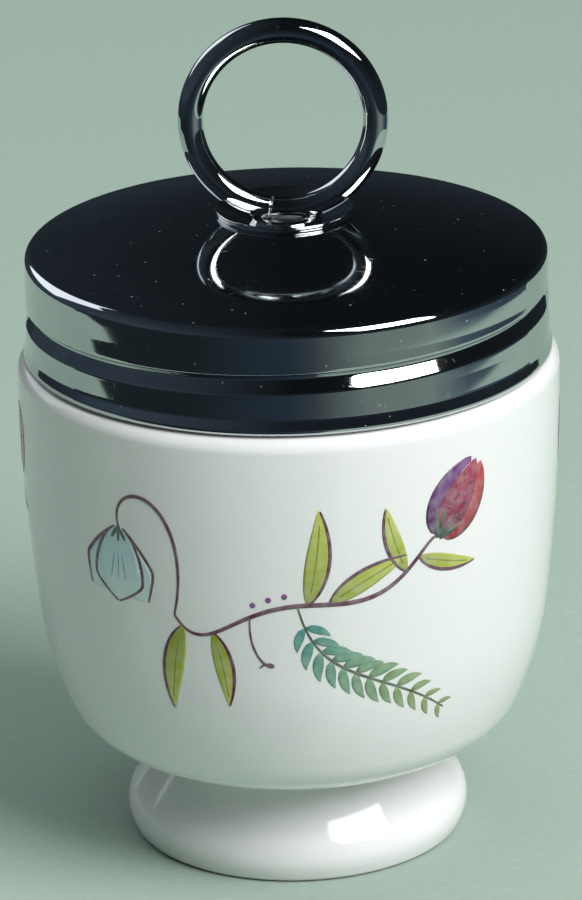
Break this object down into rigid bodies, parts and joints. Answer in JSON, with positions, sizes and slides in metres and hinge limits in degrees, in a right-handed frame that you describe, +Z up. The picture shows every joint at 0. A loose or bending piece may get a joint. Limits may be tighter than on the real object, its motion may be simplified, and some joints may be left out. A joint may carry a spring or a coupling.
{
  "type": "egg coddler",
  "caption": "Footed porcelain egg coddler with a domed screw-on metal lid and an upright round finger ring, for cooking and serving eggs in their own lidded pot.",
  "frame": {"origin": "on the table, at the centre of the foot", "axes": "+Z up along the pot's axis; -Y faces the viewer, who sees the finger ring full face; +X to the viewer's right"},
  "size_m": [0.0688, 0.0688, 0.108],
  "materials": {
    "porcelain": "glossy white glaze with printed floral decoration, dry unglazed foot edge",
    "plated_metal": "bright chrome plate with faint wear scratches",
    "rivet_metal": "satin"
  },
  "bodies": {
    "pot": {"porcelain_pot": "porcelain"},
    "lid_carrier": {"lid_rivet": "rivet_metal"},
    "lid": {"lid_cap": "plated_metal", "ring_dish": "plated_metal", "finger_ring": "plated_metal", "ring_solder": "plated_metal"}
  },
  "joints": [
    {"name": "lid_lift", "type": "slide", "parent": "pot", "child": "lid_carrier", "axis": [0, 0, 1], "range_m": [0, 0.021]},
    {"name": "lid_turn", "type": "hinge", "parent": "lid_carrier", "child": "lid", "pos_m": [0, 0, 0.0718], "axis": [0, 0, 1], "range_deg": [0, 1799]}
  ],
  "couplings": [
    {"joint": "lid_lift", "follows": "lid_turn", "m_per_rad": 0.00066845}
  ]
}
